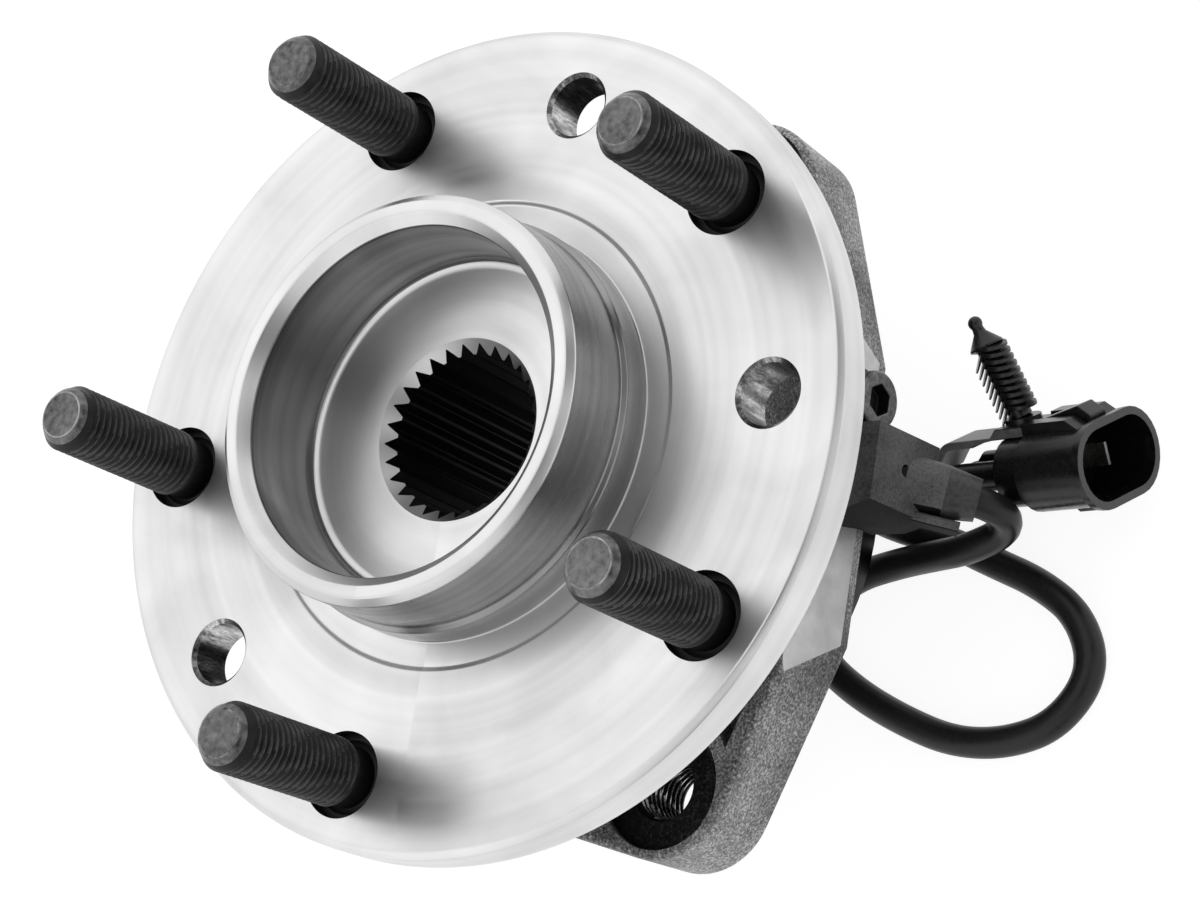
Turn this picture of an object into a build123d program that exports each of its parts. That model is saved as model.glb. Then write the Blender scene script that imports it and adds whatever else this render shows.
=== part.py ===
from build123d import *
from math import cos, pi, radians, sin, tan
import os

# A driven-wheel hub bearing, in millimetres. The hub axis is Z, the wheel side is +Z and the origin is
# the centre of the face that the wheel sits on. It lies on its back, on the rear end of the hub.

# Wheel flange of the hub
flange_beyond_studs = 11.875
flange_rim_thickness = 8.0
flange_web_drop = 1.2
flange_root_drop = 4.0
flange_root_radius = 43.0
rim_chamfer = 1.1
stud_circle = 120.65
stud_count = 5
stud_first_angle = 23.85
stud_recess_radius = 7.3
stud_recess_depth = 2.4
access_hole_radius = 5.3
access_hole_chamfer = 0.7
access_hole_circle = 117.7
access_hole_angles = (-84.15, -12.15, 131.85)
face_relief_radius = 40.4
face_relief_depth = 0.5

# Wheel pilot and the splined bore
pilot_radius = 35.1
pilot_height = 20.5
pilot_chamfer = 1.3
disc_seat_radius = 36.0
disc_seat_height = 5.9
pilot_bore_radius = 29.9
pilot_bore_chamfer = 2.0
pilot_floor_height = 1.5
pilot_floor_fillet = 1.8
spline_teeth = 28
spline_major_radius = 15.3
spline_minor_radius = 13.8
spline_first_space_angle = 85.6
spline_countersink = 0.7
joint_recess_radius = 17.5
joint_recess_depth = 6.0

# Bearing: two angular-contact rows of balls, back to back
ball_radius = 6.35
balls_per_row = 13
ball_circle_radius = 33.0
outboard_row_height = -26.0
inboard_row_height = -50.0
race_clearance = 0.12
race_shoulder_angle = 72.0
race_lip_angle = 18.0
seal_land_fillet = 4.0
spindle_radius = 24.0
ring_rear_height = -68.0
ring_rear_radius = 29.4
hub_rear_height = -72.0
hub_collar_radius = 27.5

# Cages of the balls
cage_inner_radius = 31.7
cage_outer_radius = 36.6
cage_ring_beyond_ball = 1.5
cage_mouth = 1.6
cage_pocket_clearance = 0.2

# Bearing housing with its three ears
knuckle_face_height = -46.0
flange_front_height = -29.5
flange_draft = 1.7
ear_circle_radius = 59.5
ear_radius = 12.8
ear_count = 3
ear_first_angle = 90.0
side_circle_radius = 48.2
side_radius = 12.0
knuckle_bolt_circle = 121.0
knuckle_hole_radius = 5.9
spot_face_radius = 10.9
spot_face_depth = 1.2
ear_boss_radius = 13.4
rim_wall = 3.2
pocket_depth = 8.0
pad_boss_width = 54.0
pad_boss_depth = 26.0
rim_fillet = 1.3
barrel_radius = 48.0
barrel_front_height = -14.0
nose_radius = 45.0
nose_rear_height = -65.0
nose_chamfer = 1.5
nose_relief_depth = 0.6
nose_relief_width = 1.5
seal_bore_radius = 41.0
seal_bore_depth = 6.0

# Seals
seal_sheet = 0.8
seal_width = 3.4
seal_recess = 0.3
seal_wall_radius = 36.0
lip_thickness = 0.7
lip_gap = 0.3
slinger_sheet = 0.8
slinger_length = 4.6
slinger_gap = 0.8

# Tone ring that the speed sensor reads
tone_ring_height = -38.0
tone_ring_width = 6.0
tone_ring_teeth = 47
tone_ring_outer_radius = 34.2
tone_tooth_depth = 1.8

# Wheel studs
stud_thread_radius = 5.9
stud_tip_height = 32.4
stud_tip_radius = 4.3
stud_tip_taper = 2.2
stud_neck_radius = 5.3
stud_neck_end = -0.9
stud_knurl_radius = 6.3
stud_head_radius = 8.6
stud_head_thickness = 4.2

# Speed sensor, seated on a machined pad that leans 9 degrees
sensor_lean = 9.0
pad_height = 45.0
pad_cast_flat = 52.5
sensor_along = -43.0
sensor_face_height = 57.0
sensor_left = -3.0
sensor_left_at_pad = -6.5
sensor_left_at_rear = -4.4
sensor_right = 10.3
sensor_front = 4.0
sensor_rear = 12.6
sensor_rear_at_pad = 9.0
sensor_ear_thickness = 2.8
sensor_ear_radius = 6.0
sensor_port_radius = 1.05
sensor_port_depth = 2.5
sensor_port_across = 4.0
sensor_port_along = -4.3
probe_radius = 4.4
probe_hole_clearance = 0.15
probe_gap = 1.2
o_ring_section = 1.15
o_ring_squeeze = 0.05
o_ring_below_pad = 4.0
screw_across = 15.5
screw_along = -0.9
screw_radius = 3.0
screw_head_radius = 5.0
screw_head_height = 4.6
screw_socket_flats = 5.0
screw_socket_depth = 2.6
screw_length = 12.0
bushing_wall = 0.8

# Lead: rubber boot, jacket and the two cores at its far end
boot_exit = Vector(2.0, -71.8, -49.0)
boot_direction = Vector(-0.105, -0.852, -0.512)
boot_length = 5.6
boot_root_radius = 4.6
boot_tip_radius = 3.65
boot_bore_depth = 4.8
boot_bore_clearance = 0.08
spigot_root_radius = 5.2
spigot_length = 8.0
lug_length = 8.3
lug_ahead = 3.6
lug_thickness = 1.8
lug_gap = 0.1
lug_width = 5.0
lug_fillet = 0.8
lead_radius = 2.75
lead_route = [
    (2.50, -67.71, -46.54), (1.59, -75.12, -51.00), (-0.30, -73.10, -59.20), (-3.50, -64.90, -60.50),
    (-3.80, -56.40, -64.30), (-4.30, -47.40, -68.20), (-6.80, -38.20, -69.20), (-13.40, -31.90, -69.20),
    (-21.60, -34.20, -69.20), (-27.20, -42.00, -69.20), (-31.80, -51.90, -69.20), (-35.20, -62.40, -69.20),
    (-34.90, -72.50, -69.20), (-31.20, -81.50, -69.20), (-22.00, -87.00, -69.20), (-12.60, -83.20, -69.20),
    (-7.00, -75.00, -69.20), (-3.40, -65.50, -69.20), (0.10, -57.00, -69.20), (2.00, -48.00, -69.20),
    (4.80, -40.00, -69.20), (11.40, -36.60, -69.20), (16.90, -40.60, -68.60), (15.40, -47.80, -67.00),
    (11.20, -54.50, -65.40),
]
core_radius = 1.0
core_spacing = 2.6
core_seal_bite = 2.0
core_straight = 2.0
core_before_seal = 1.5
core_bend = 1.5

# Plug: a sealed two-way connector on the lead's end
plug_mouth = Vector(11.68, -92.85, -56.73)
plug_axis = Vector(0.028, -0.980, 0.195)
plug_long_axis = Vector(0.5233, -0.1519, -0.8385)
plug_length = 24.0
plug_width = 15.0
plug_wall = 1.6
plug_rim_depth = 1.4
plug_rim_height = 0.7
plug_cavity_depth = 14.0
plug_shroud_length = 9.0
plug_body_length = 22.0
plug_rear_shrink = 2.2
plug_rear_top_shrink = 0.8
rear_bevel = 1.0
lip_rib_width = 8.0
lip_rib_height = 1.0
lip_rib_length = 6.5
way_spacing = 9.0
way_tube_radius = 2.3
way_tube_length = 8.5
way_bore_radius = 1.7
way_bore_depth = 8.0
blade_width = 4.0
blade_thickness = 0.64
blade_reach = 8.5
blade_root = 5.0

# Lock ramp between two blocks on the plug's top
block_width = 3.5
block_gap = 0.5
block_front = 4.8
block_rear = 13.7
block_rise = 1.8
block_slope = 2.2
block_foot = 1.4
ramp_width = 4.5
ramp_foot = 2.2
ramp_foot_rise = 1.3
ramp_peak = 4.4
ramp_peak_rise = 3.2

# Clip holder: a seat for the tree, and a plate that ends in an arm curved down over the wires
seat_rise = 1.1
seat_front = 14.0
seat_rear = 20.8
plate_width = 8.6
plate_rear = 29.0
plate_fall = 1.4
plate_thickness = 1.4
arm_reach = 7.0
arm_drop = 4.4
arm_bend = 3.0

# Fir-tree clip that pushes into a panel hole
tree_seat = 17.4
tree_lean = 16.5
tree_length = 19.8
tree_core_width = 2.6
tree_core_depth = 3.2
tree_fins = 10
tree_fin_reach = 3.7
tree_fin_droop = 2.0
tree_fin_thickness = 0.55
tree_fin_depth = 4.4
tree_first_fin = 1.6
tree_head_length = 2.4
tree_head_radius = 3.0
tree_knob_radius = 1.25
tree_knob_stem = 0.7
tree_pad_radius = 3.2
tree_pad_thickness = 1.0


def polar(radius, angle):
    """Point at a radius and an angle in degrees."""
    return (radius * cos(radians(angle)), radius * sin(radians(angle)))


def race_point(row_height, angle):
    """Point of a race groove, as (radius, height), at an angle round the ball's centre."""
    across, up = polar(race_radius, angle)
    return (ball_circle_radius + across, row_height + up)


def save(part, name):
    """Label a finished piece and write it."""
    part.label = name
    export_step(part, "parts/" + name + ".step")


os.makedirs("parts", exist_ok=True)

# Heights and radii that several pieces share
race_radius = ball_radius + race_clearance
race_sweep = race_shoulder_angle + race_lip_angle
outer_lip_radius = race_point(0, race_lip_angle)[0]
inner_lip_radius = race_point(0, 180 - race_lip_angle)[0]
hub_shoulder_radius = race_point(0, 180 - race_shoulder_angle)[0]
flange_radius = stud_circle / 2 + flange_beyond_studs
flange_rear_height = -flange_rim_thickness
flange_web_height = flange_rear_height - flange_web_drop
flange_root_height = flange_rear_height - flange_root_drop
seal_land_height = flange_root_height - seal_land_fillet
ring_front_height = race_point(inboard_row_height, 180 - race_lip_angle)[1] + 1.2
head_clearance_radius = stud_circle / 2 - stud_head_radius - 1.5
outboard_seal_height = barrel_front_height - seal_recess
inboard_seal_height = nose_rear_height + seal_recess

# Hub: wheel flange, pilot, splined bore and the outboard inner race in one forging
with BuildPart() as wheel_hub:
    with BuildSketch(Plane.XZ) as hub_profile:
        with BuildLine():
            Polyline(
                (hub_collar_radius - 0.8, hub_rear_height),
                (spline_minor_radius, hub_rear_height),
                (spline_minor_radius, pilot_floor_height),
                (pilot_bore_radius, pilot_floor_height),
                (pilot_bore_radius, pilot_height - pilot_bore_chamfer),
                (pilot_bore_radius + pilot_bore_chamfer, pilot_height),
                (pilot_radius - pilot_chamfer, pilot_height),
                (pilot_radius, pilot_height - pilot_chamfer),
                (pilot_radius, disc_seat_height),
                (disc_seat_radius, disc_seat_height - 0.6),
                (disc_seat_radius, -face_relief_depth),
                (face_relief_radius, -face_relief_depth),
                (face_relief_radius + face_relief_depth, 0),
                (flange_radius - rim_chamfer, 0),
                (flange_radius, -rim_chamfer),
                (flange_radius, flange_rear_height + 0.6),
                (flange_radius - 0.6, flange_rear_height),
                (head_clearance_radius, flange_web_height),
                (flange_root_radius, flange_root_height),
                (hub_shoulder_radius + seal_land_fillet, flange_root_height),
            )
            CenterArc((hub_shoulder_radius + seal_land_fillet, seal_land_height), seal_land_fillet, 90, 90)
            Polyline(
                (hub_shoulder_radius, seal_land_height),
                race_point(outboard_row_height, 180 - race_shoulder_angle),
            )
            CenterArc((ball_circle_radius, outboard_row_height), race_radius, 180 - race_shoulder_angle, race_sweep)
            Polyline(
                race_point(outboard_row_height, 180 + race_lip_angle),
                (inner_lip_radius, ring_front_height),
                (spindle_radius, ring_front_height),
                (spindle_radius, ring_rear_height),
                (hub_collar_radius, ring_rear_height),
                (hub_collar_radius, hub_rear_height + 0.8),
                (hub_collar_radius - 0.8, hub_rear_height),
            )
        make_face()
        fillet(vertices().sort_by_distance((pilot_bore_radius, pilot_floor_height))[0], pilot_floor_fillet)
    revolve(axis=Axis.Z)
    # Spline spaces run the whole bore
    spline_pitch = 2 * pi * spline_major_radius / spline_teeth
    with BuildSketch(Plane.XY.offset(hub_rear_height)):
        with PolarLocations(0, spline_teeth, start_angle=spline_first_space_angle):
            Polygon(
                (spline_minor_radius - 1, -spline_pitch * 0.36),
                (spline_major_radius, -spline_pitch * 0.18),
                (spline_major_radius, spline_pitch * 0.18),
                (spline_minor_radius - 1, spline_pitch * 0.36),
                align=None,
            )
    extrude(amount=pilot_floor_height - hub_rear_height, mode=Mode.SUBTRACT)
    # Countersink of the spline in front, and the recess for the joint's shoulder behind
    countersink_radius = spline_major_radius + spline_countersink
    with BuildSketch(Plane.XZ):
        Polygon(
            (0, pilot_floor_height),
            (countersink_radius, pilot_floor_height),
            (spline_minor_radius, pilot_floor_height - countersink_radius + spline_minor_radius),
            (0, pilot_floor_height - countersink_radius + spline_minor_radius),
            align=None,
        )
        Polygon(
            (0, hub_rear_height),
            (joint_recess_radius, hub_rear_height),
            (joint_recess_radius, hub_rear_height + joint_recess_depth - 2),
            (spline_minor_radius, hub_rear_height + joint_recess_depth),
            (0, hub_rear_height + joint_recess_depth),
            align=None,
        )
    revolve(axis=Axis.Z, mode=Mode.SUBTRACT)
    with PolarLocations(stud_circle / 2, stud_count, start_angle=stud_first_angle):
        CounterBoreHole(stud_knurl_radius, stud_recess_radius, stud_recess_depth, depth=2 * flange_rim_thickness)
    with Locations(*[polar(access_hole_circle / 2, angle) for angle in access_hole_angles]):
        CounterSinkHole(
            access_hole_radius,
            access_hole_radius + access_hole_chamfer,
            depth=2 * flange_rim_thickness,
            counter_sink_angle=90,
        )
save(wheel_hub.part, "wheel_hub")

# Wheel studs, pressed in from behind
stud_tip_base = stud_tip_height - stud_tip_taper
for index in range(stud_count):
    place = polar(stud_circle / 2, stud_first_angle + index * 360 / stud_count)
    stud_plane = Plane(origin=(place[0], place[1], 0), x_dir=(1, 0, 0), z_dir=(0, -1, 0))
    with BuildPart() as wheel_stud:
        with BuildSketch(stud_plane):
            Polygon(
                (0, flange_web_height - stud_head_thickness),
                (stud_head_radius - 0.8, flange_web_height - stud_head_thickness),
                (stud_head_radius, flange_web_height - stud_head_thickness + 0.8),
                (stud_head_radius, flange_web_height),
                (stud_knurl_radius, flange_web_height),
                (stud_knurl_radius, -stud_recess_depth - 0.4),
                (stud_neck_radius, -stud_recess_depth + 0.3),
                (stud_neck_radius, stud_neck_end),
                (stud_thread_radius, stud_neck_end + stud_thread_radius - stud_neck_radius),
                (stud_thread_radius, stud_tip_base),
                (stud_tip_radius, stud_tip_height - 0.3),
                (stud_tip_radius - 0.5, stud_tip_height),
                (0, stud_tip_height),
                align=None,
            )
        revolve(axis=Axis((place[0], place[1], 0), (0, 0, 1)))
    save(wheel_stud.part, f"wheel_stud_{index + 1}")

# Inboard inner ring, held by the rolled end of the hub
with BuildPart() as inboard_inner_ring:
    with BuildSketch(Plane.XZ):
        with BuildLine():
            Polyline(
                race_point(inboard_row_height, 180 + race_shoulder_angle),
                (hub_shoulder_radius, inboard_seal_height),
                (ring_rear_radius, inboard_seal_height - 1),
                (ring_rear_radius, ring_rear_height + 0.5),
                (ring_rear_radius - 0.5, ring_rear_height),
                (spindle_radius, ring_rear_height),
                (spindle_radius, ring_front_height),
                (inner_lip_radius, ring_front_height),
                race_point(inboard_row_height, 180 - race_lip_angle),
            )
            CenterArc((ball_circle_radius, inboard_row_height), race_radius, 180 - race_lip_angle, race_sweep)
        make_face()
    revolve(axis=Axis.Z)
save(inboard_inner_ring.part, "inboard_inner_ring")

# Tone ring, pressed on the spindle between the rows
tone_pitch = 2 * pi * tone_ring_outer_radius / tone_ring_teeth
with BuildPart() as tone_ring:
    with BuildSketch(Plane.XY.offset(tone_ring_height - tone_ring_width / 2)):
        Circle(tone_ring_outer_radius)
        Circle(inner_lip_radius, mode=Mode.SUBTRACT)
        with PolarLocations(tone_ring_outer_radius, tone_ring_teeth):
            Rectangle(2 * tone_tooth_depth, tone_pitch / 2, mode=Mode.SUBTRACT)
    extrude(amount=tone_ring_width)
save(tone_ring.part, "tone_ring")

# Balls and their cages; each cage is open towards the other row and its balls snap in
for row_name, row_height, outward in (
    ("outboard", outboard_row_height, 1),
    ("inboard", inboard_row_height, -1),
):
    with BuildPart() as balls:
        with Locations((0, 0, row_height)):
            with PolarLocations(ball_circle_radius, balls_per_row):
                Sphere(ball_radius)
    save(balls.part, row_name + "_balls")

    cage_ring_end = row_height + outward * (ball_radius + cage_ring_beyond_ball)
    cage_mouth_end = row_height - outward * cage_mouth
    with BuildPart() as cage:
        with BuildSketch(Plane.XY.offset(cage_mouth_end)):
            Circle(cage_outer_radius)
            Circle(cage_inner_radius, mode=Mode.SUBTRACT)
        extrude(amount=cage_ring_end - cage_mouth_end)
        with Locations((0, 0, row_height)):
            with PolarLocations(ball_circle_radius, balls_per_row):
                Sphere(ball_radius + cage_pocket_clearance, mode=Mode.SUBTRACT)
    save(cage.part, row_name + "_cage")

# Plane of the machined sensor pad: it leans towards the wheel, and its origin is the probe's axis
lean = radians(sensor_lean)
pad_normal = Vector(0, -cos(lean), sin(lean))
pad_up = Vector(0, sin(lean), cos(lean))
pad_plane = Plane(
    origin=pad_normal * pad_height + pad_up * sensor_along,
    x_dir=(1, 0, 0),
    z_dir=pad_normal,
)
probe_tip = (tone_ring_outer_radius + probe_gap) * cos(lean) + tone_ring_height * sin(lean)
probe_length = pad_height - probe_tip

# Bearing housing: nose, three-eared flange and barrel, with both outer races ground inside
flange_thickness = flange_front_height - knuckle_face_height
with BuildPart() as bearing_housing:
    with BuildSketch(Plane.XY.offset(knuckle_face_height)):
        with PolarLocations(ear_circle_radius, ear_count, start_angle=ear_first_angle):
            Circle(ear_radius)
        with PolarLocations(side_circle_radius, ear_count, start_angle=ear_first_angle + 180 / ear_count):
            Circle(side_radius)
        make_hull()
    extrude(amount=flange_thickness, taper=-flange_draft)
    fillet(faces().sort_by(Axis.Z)[-1].edges(), rim_fillet)
    # Cored pockets between the rim wall and the barrel
    with BuildSketch(Plane.XY.offset(flange_front_height)):
        with PolarLocations(ear_circle_radius, ear_count, start_angle=ear_first_angle):
            Circle(ear_radius - rim_wall)
        with PolarLocations(side_circle_radius, ear_count, start_angle=ear_first_angle + 180 / ear_count):
            Circle(side_radius - rim_wall)
        make_hull()
        Circle(barrel_radius, mode=Mode.SUBTRACT)
        with PolarLocations(ear_circle_radius, ear_count, start_angle=ear_first_angle):
            Circle(ear_boss_radius, mode=Mode.SUBTRACT)
        with Locations((0, -pad_cast_flat)):
            Rectangle(pad_boss_width, pad_boss_depth, mode=Mode.SUBTRACT)
    extrude(amount=-pocket_depth, mode=Mode.SUBTRACT)
    with BuildSketch(Plane.XZ):
        with BuildLine():
            Polyline(
                (barrel_radius, flange_front_height - pocket_depth),
                (barrel_radius, barrel_front_height - 1),
                (barrel_radius - 1, barrel_front_height),
                (spindle_radius, barrel_front_height),
                (spindle_radius, nose_rear_height),
                (nose_radius - nose_chamfer, nose_rear_height),
                (nose_radius, nose_rear_height + nose_chamfer),
                (nose_radius, flange_front_height - pocket_depth),
                close=True,
            )
        make_face()
    revolve(axis=Axis.Z)
    # Relief groove in the knuckle face round the root of the nose
    with BuildSketch(Plane.XY.offset(knuckle_face_height)):
        Circle(nose_radius + nose_relief_width)
        Circle(nose_radius, mode=Mode.SUBTRACT)
    extrude(amount=nose_relief_depth, mode=Mode.SUBTRACT)
    # Bore: seal seats at both ends and the two outer races
    with BuildSketch(Plane.XZ):
        with BuildLine():
            Polyline(
                race_point(outboard_row_height, race_lip_angle),
                (outer_lip_radius, barrel_front_height - seal_bore_depth),
                (seal_bore_radius, barrel_front_height - seal_bore_depth),
                (seal_bore_radius, barrel_front_height - 0.5),
                (seal_bore_radius + 0.5, barrel_front_height),
                (0, barrel_front_height),
                (0, nose_rear_height),
                (seal_bore_radius + 0.5, nose_rear_height),
                (seal_bore_radius, nose_rear_height + 0.5),
                (seal_bore_radius, nose_rear_height + seal_bore_depth),
                (outer_lip_radius, nose_rear_height + seal_bore_depth),
                race_point(inboard_row_height, -race_lip_angle),
            )
            CenterArc((ball_circle_radius, inboard_row_height), race_radius, -race_lip_angle, race_sweep)
            Line(
                race_point(inboard_row_height, race_shoulder_angle),
                race_point(outboard_row_height, -race_shoulder_angle),
            )
            CenterArc((ball_circle_radius, outboard_row_height), race_radius, -race_shoulder_angle, race_sweep)
        make_face()
    revolve(axis=Axis.Z, mode=Mode.SUBTRACT)
    # Threaded knuckle holes with their spot faces
    with Locations(Plane.XY.offset(flange_front_height)):
        with PolarLocations(knuckle_bolt_circle / 2, ear_count, start_angle=ear_first_angle):
            CounterBoreHole(knuckle_hole_radius, spot_face_radius, spot_face_depth, depth=2 * flange_thickness)
    # As-cast flat beside the sensor, then the machined pad that leans over it
    with BuildSketch(Plane.XY.offset(knuckle_face_height)):
        with Locations((0, -pad_cast_flat - pad_boss_depth / 2)):
            Rectangle(2 * flange_radius, pad_boss_depth)
    extrude(amount=flange_thickness, mode=Mode.SUBTRACT)
    with BuildSketch(pad_plane):
        Rectangle(2 * flange_radius, 2 * flange_thickness)
    extrude(amount=pad_boss_depth, mode=Mode.SUBTRACT)
    with BuildSketch(pad_plane):
        Circle(probe_radius + probe_hole_clearance)
    extrude(amount=-probe_length, mode=Mode.SUBTRACT)
    with BuildSketch(pad_plane):
        with Locations((screw_across, screw_along)):
            Circle(screw_radius)
    extrude(amount=-screw_length, mode=Mode.SUBTRACT)
save(bearing_housing.part, "bearing_housing")

# Seals: steel cases pressed into the housing with rubber lips, and a slinger ring on the inner ring
seal_case_radius = seal_bore_radius - seal_sheet
with BuildPart() as outboard_seal_case:
    with BuildSketch(Plane.XZ):
        Polygon(
            (seal_bore_radius, outboard_seal_height),
            (seal_bore_radius, outboard_seal_height - seal_width),
            (seal_wall_radius, outboard_seal_height - seal_width),
            (seal_wall_radius, outboard_seal_height - seal_width + seal_sheet),
            (seal_case_radius, outboard_seal_height - seal_width + seal_sheet),
            (seal_case_radius, outboard_seal_height),
            align=None,
        )
    revolve(axis=Axis.Z)
save(outboard_seal_case.part, "outboard_seal_case")

outboard_lip_root = outboard_seal_height - seal_width + seal_sheet
with BuildPart() as outboard_seal_lips:
    with BuildSketch(Plane.XZ):
        Polygon(
            (seal_wall_radius, outboard_lip_root - seal_sheet),
            (seal_wall_radius, outboard_lip_root),
            (seal_wall_radius + 2, outboard_lip_root),
            (seal_wall_radius + 2, outboard_lip_root + lip_thickness),
            (seal_wall_radius + 3, flange_root_height - lip_gap),
            (seal_wall_radius + 3 - lip_thickness, flange_root_height - lip_gap),
            (seal_wall_radius, outboard_lip_root + 1.5 * lip_thickness),
            (hub_shoulder_radius + lip_gap, outboard_lip_root + lip_thickness),
            (hub_shoulder_radius + lip_gap, outboard_lip_root),
            (seal_wall_radius - 1.5, outboard_lip_root - seal_sheet),
            align=None,
        )
    revolve(axis=Axis.Z)
save(outboard_seal_lips.part, "outboard_seal_lips")

with BuildPart() as inboard_seal_case:
    with BuildSketch(Plane.XZ):
        Polygon(
            (seal_bore_radius, inboard_seal_height),
            (seal_bore_radius, inboard_seal_height + seal_width),
            (seal_wall_radius, inboard_seal_height + seal_width),
            (seal_wall_radius, inboard_seal_height + seal_width - seal_sheet),
            (seal_case_radius, inboard_seal_height + seal_width - seal_sheet),
            (seal_case_radius, inboard_seal_height),
            align=None,
        )
    revolve(axis=Axis.Z)
save(inboard_seal_case.part, "inboard_seal_case")

slinger_sleeve_radius = hub_shoulder_radius + slinger_sheet
slinger_flange_height = inboard_seal_height + slinger_sheet
with BuildPart() as slinger:
    with BuildSketch(Plane.XZ):
        Polygon(
            (hub_shoulder_radius, inboard_seal_height),
            (hub_shoulder_radius, inboard_seal_height + slinger_length),
            (slinger_sleeve_radius, inboard_seal_height + slinger_length),
            (slinger_sleeve_radius, slinger_flange_height),
            (seal_case_radius - slinger_gap, slinger_flange_height),
            (seal_case_radius - slinger_gap, inboard_seal_height),
            align=None,
        )
    revolve(axis=Axis.Z)
save(slinger.part, "slinger")

inboard_lip_root = inboard_seal_height + seal_width - seal_sheet
with BuildPart() as inboard_seal_lips:
    with BuildSketch(Plane.XZ):
        Polygon(
            (seal_wall_radius, inboard_lip_root + seal_sheet),
            (seal_wall_radius, inboard_lip_root),
            (seal_wall_radius + 2, inboard_lip_root),
            (seal_wall_radius + 2, inboard_lip_root - lip_thickness),
            (seal_wall_radius + 3, slinger_flange_height + lip_gap),
            (seal_wall_radius + 3 - lip_thickness, slinger_flange_height + lip_gap),
            (seal_wall_radius, inboard_lip_root - 1.5 * lip_thickness),
            (slinger_sleeve_radius + lip_gap, inboard_lip_root - lip_thickness),
            (slinger_sleeve_radius + lip_gap, inboard_lip_root),
            (seal_wall_radius - 1.5, inboard_lip_root + seal_sheet),
            align=None,
        )
    revolve(axis=Axis.Z)
save(inboard_seal_lips.part, "inboard_seal_lips")

# Speed sensor: moulded block on a base plate, with a spigot for the lead and a lug under it
boot_axis = boot_direction.normalized()
spigot_end = boot_exit - boot_axis * boot_length
block_height = sensor_face_height - pad_height
block_plane = Plane(origin=pad_plane.from_local_coords((0, sensor_front, 0)), x_dir=(1, 0, 0), z_dir=-pad_up)
spigot_plane = Plane(origin=spigot_end, x_dir=(1, 0, 0), z_dir=boot_axis)
with BuildPart() as sensor_body:
    with BuildSketch(block_plane):
        Polygon(
            (sensor_left_at_pad, 0),
            (sensor_left, block_height),
            (sensor_right, block_height),
            (sensor_right, 0),
            align=None,
        )
    extrude(amount=sensor_front + sensor_rear)
    # The rear face leans in towards the pad
    with BuildSketch(Plane(origin=pad_plane.origin, x_dir=pad_up, z_dir=(-1, 0, 0))):
        Polygon(
            (-sensor_rear_at_pad, 0),
            (-sensor_rear, block_height * 0.7),
            (-sensor_rear - 1, block_height * 0.7),
            (-sensor_rear - 1, 0),
            align=None,
        )
    extrude(amount=2 * sensor_rear, both=True, mode=Mode.SUBTRACT)
    # The flared side narrows towards the rear
    with BuildSketch(pad_plane):
        Polygon(
            (sensor_left_at_pad, sensor_front),
            (sensor_left_at_rear, -sensor_rear_at_pad),
            (sensor_left_at_rear, -sensor_rear - 1),
            (sensor_left_at_pad - 1, -sensor_rear - 1),
            (sensor_left_at_pad - 1, sensor_front),
            align=None,
        )
    extrude(amount=block_height, mode=Mode.SUBTRACT)
    with BuildSketch(pad_plane):
        with Locations((screw_across, screw_along)):
            Circle(sensor_ear_radius)
        with Locations(((sensor_left + sensor_right) / 2, (sensor_front - sensor_rear_at_pad) / 2)):
            Rectangle(sensor_right - sensor_left - 1, sensor_front + sensor_rear_at_pad - 1)
        make_hull()
    extrude(amount=sensor_ear_thickness)
    with BuildSketch(spigot_plane.offset(-spigot_length)):
        Circle(spigot_root_radius)
    with BuildSketch(spigot_plane):
        Circle(boot_root_radius)
    loft()
    with BuildSketch(spigot_plane.offset(lug_ahead)):
        with Locations((-boot_root_radius - lug_thickness / 2 - lug_gap, 0)):
            RectangleRounded(lug_thickness, lug_width, lug_fillet)
    extrude(amount=-lug_length)
    with BuildSketch(pad_plane):
        with Locations((screw_across, screw_along)):
            Circle(screw_radius + bushing_wall)
    extrude(amount=block_height, mode=Mode.SUBTRACT)
    with BuildSketch(pad_plane.offset(block_height)):
        with Locations((sensor_port_across, sensor_port_along)):
            Circle(sensor_port_radius)
    extrude(amount=-sensor_port_depth, mode=Mode.SUBTRACT)
save(sensor_body.part, "sensor_body")

with BuildPart() as sensor_probe:
    with BuildSketch(pad_plane):
        Circle(probe_radius)
    extrude(amount=-probe_length)
    groove_radius = probe_radius + probe_hole_clearance - o_ring_section - o_ring_squeeze
    with BuildSketch(pad_plane.offset(-o_ring_below_pad)):
        Circle(probe_radius)
        Circle(groove_radius, mode=Mode.SUBTRACT)
    extrude(amount=o_ring_section * 1.3, mode=Mode.SUBTRACT)
save(sensor_probe.part, "sensor_probe")

with BuildPart() as sensor_o_ring:
    ring_middle = pad_plane.offset(-o_ring_below_pad + o_ring_section * 0.65)
    ring_circle_radius = probe_radius + probe_hole_clearance - o_ring_squeeze - o_ring_section / 2
    with BuildSketch(Plane(origin=ring_middle.origin, x_dir=(1, 0, 0), z_dir=-pad_up)):
        with Locations((ring_circle_radius, 0)):
            Circle(o_ring_section / 2)
    revolve(axis=Axis(ring_middle.origin, pad_normal))
save(sensor_o_ring.part, "sensor_o_ring")

with BuildPart() as sensor_bushing:
    with BuildSketch(pad_plane):
        with Locations((screw_across, screw_along)):
            Circle(screw_radius + bushing_wall)
            Circle(screw_radius, mode=Mode.SUBTRACT)
    extrude(amount=sensor_ear_thickness)
save(sensor_bushing.part, "sensor_bushing")

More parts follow.
